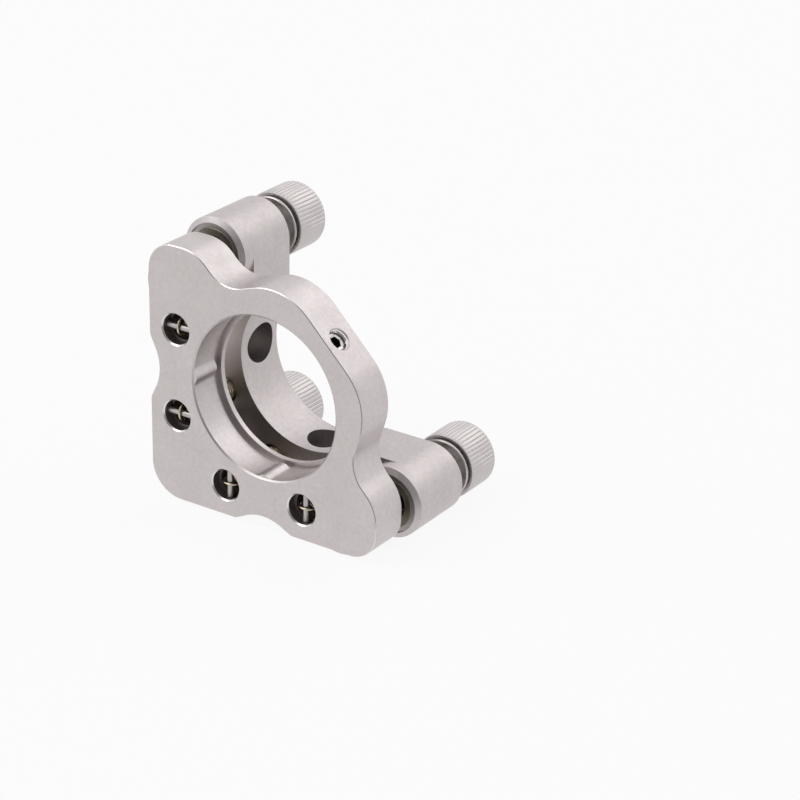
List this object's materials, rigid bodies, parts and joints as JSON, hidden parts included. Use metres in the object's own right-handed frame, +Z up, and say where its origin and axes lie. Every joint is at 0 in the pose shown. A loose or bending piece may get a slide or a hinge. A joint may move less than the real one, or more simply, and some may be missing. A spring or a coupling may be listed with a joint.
{
  "type": "kinematic mirror mount",
  "caption": "Kinematic mount that tilts and shifts a round optic with three fine-thread adjusters against spring-loaded ball seats.",
  "frame": {"origin": "on the optical axis at the front face of the plate", "axes": "-Y out of the front face along the optical axis, +Z up, +X towards the side adjuster; the frame's lower edge faces -Z"},
  "size_m": [0.0527, 0.0377, 0.0527],
  "materials": {
    "stainless": "satin, bead blasted",
    "knob_steel": "turned, knurled",
    "screw_steel": "fine thread",
    "bushing_bronze": "turned",
    "hard_steel": "polished",
    "spring_wire": "drawn wire",
    "nylon": "natural"
  },
  "bodies": {
    "frame": {"frame": "stainless", "top_bushing": "bushing_bronze", "side_bushing": "bushing_bronze", "corner_bushing": "bushing_bronze", "rear_pin_left_upper": "screw_steel", "rear_pin_left_lower": "screw_steel", "rear_pin_bottom_inner": "screw_steel", "rear_pin_bottom_outer": "screw_steel"},
    "top_tip": {"top_ball": "hard_steel"},
    "top_adjuster": {"top_screw": "screw_steel", "top_knob": "knob_steel"},
    "side_tip": {"side_ball": "hard_steel"},
    "side_adjuster": {"side_screw": "screw_steel", "side_knob": "knob_steel"},
    "corner_tip": {"corner_ball": "hard_steel"},
    "corner_adjuster": {"corner_screw": "screw_steel", "corner_knob": "knob_steel"},
    "carriage": {"spring_left_lower": "spring_wire"},
    "pitch_corner_carrier": {"spring_left_upper": "spring_wire"},
    "pitch_top_carrier": {"spring_bottom_inner": "spring_wire"},
    "yaw_corner_carrier": {"spring_bottom_outer": "spring_wire"},
    "front": {"front_plate": "stainless", "top_seat": "hard_steel", "side_seat": "hard_steel", "corner_seat": "hard_steel", "front_pin_left_upper": "screw_steel", "front_pin_left_lower": "screw_steel", "front_pin_bottom_inner": "screw_steel", "front_pin_bottom_outer": "screw_steel"},
    "optic_tip": {"optic_screw_tip": "nylon"},
    "optic_adjuster": {"optic_screw": "screw_steel"}
  },
  "joints": [
    {"name": "top_advance", "type": "slide", "parent": "frame", "child": "top_tip", "axis": [0, -1, 0], "range_m": [-0.00175, 0.00175]},
    {"name": "top_turn", "type": "hinge", "parent": "top_tip", "child": "top_adjuster", "pos_m": [-0.0192, 0.0252, 0.0198], "axis": [0, -1, 0], "range_deg": [-2520, 2520]},
    {"name": "side_advance", "type": "slide", "parent": "frame", "child": "side_tip", "axis": [0, -1, 0], "range_m": [-0.00175, 0.00175]},
    {"name": "side_turn", "type": "hinge", "parent": "side_tip", "child": "side_adjuster", "pos_m": [0.0198, 0.0252, -0.0192], "axis": [0, -1, 0], "range_deg": [-2520, 2520]},
    {"name": "corner_advance", "type": "slide", "parent": "frame", "child": "corner_tip", "axis": [0, -1, 0], "range_m": [-0.00175, 0.00175]},
    {"name": "corner_turn", "type": "hinge", "parent": "corner_tip", "child": "corner_adjuster", "pos_m": [-0.0192, 0.0252, -0.0192], "axis": [0, -1, 0], "range_deg": [-2520, 2520]},
    {"name": "corner_shift", "type": "slide", "parent": "frame", "child": "carriage", "axis": [0, -1, 0], "range_m": [-0.00175, 0.00175], "deforming": ["spring_left_lower"]},
    {"name": "corner_pitch", "type": "hinge", "parent": "carriage", "child": "pitch_corner_carrier", "pos_m": [-0.0192, 0.00883, -0.0192], "axis": [1, 0, 0], "range_deg": [-2.6, 2.6], "deforming": ["spring_left_upper"]},
    {"name": "top_pitch", "type": "hinge", "parent": "pitch_corner_carrier", "child": "pitch_top_carrier", "pos_m": [-0.0192, 0.00883, -0.0192], "axis": [1, 0, 0], "range_deg": [-2.6, 2.6], "deforming": ["spring_bottom_inner"]},
    {"name": "corner_yaw", "type": "hinge", "parent": "pitch_top_carrier", "child": "yaw_corner_carrier", "pos_m": [-0.0192, 0.00883, -0.0192], "axis": [0, 0, -1], "range_deg": [-2.6, 2.6], "deforming": ["spring_bottom_outer"]},
    {"name": "side_yaw", "type": "hinge", "parent": "yaw_corner_carrier", "child": "front", "pos_m": [-0.0192, 0.00883, -0.0192], "axis": [0, 0, -1], "range_deg": [-2.6, 2.6]},
    {"name": "optic_advance", "type": "slide", "parent": "front", "child": "optic_tip", "axis": [-0.7071, 0, -0.7071], "range_m": [-0.001, 0.00035]},
    {"name": "optic_turn", "type": "hinge", "parent": "optic_tip", "child": "optic_adjuster", "pos_m": [0.01315, 0.00375, 0.01315], "axis": [-0.7071, 0, -0.7071], "range_deg": [-514.3, 180]}
  ],
  "couplings": [
    {"joint": "top_turn", "follows": "top_advance", "rad_per_m": 25133},
    {"joint": "side_turn", "follows": "side_advance", "rad_per_m": 25133},
    {"joint": "corner_turn", "follows": "corner_advance", "rad_per_m": 25133},
    {"joint": "corner_shift", "follows": "corner_advance", "ratio": 1},
    {"joint": "corner_pitch", "follows": "corner_advance", "rad_per_m": -25.641},
    {"joint": "top_pitch", "follows": "top_advance", "rad_per_m": 25.641},
    {"joint": "corner_yaw", "follows": "corner_advance", "rad_per_m": -25.641},
    {"joint": "side_yaw", "follows": "side_advance", "rad_per_m": 25.641},
    {"joint": "optic_turn", "follows": "optic_advance", "rad_per_m": 8976}
  ]
}
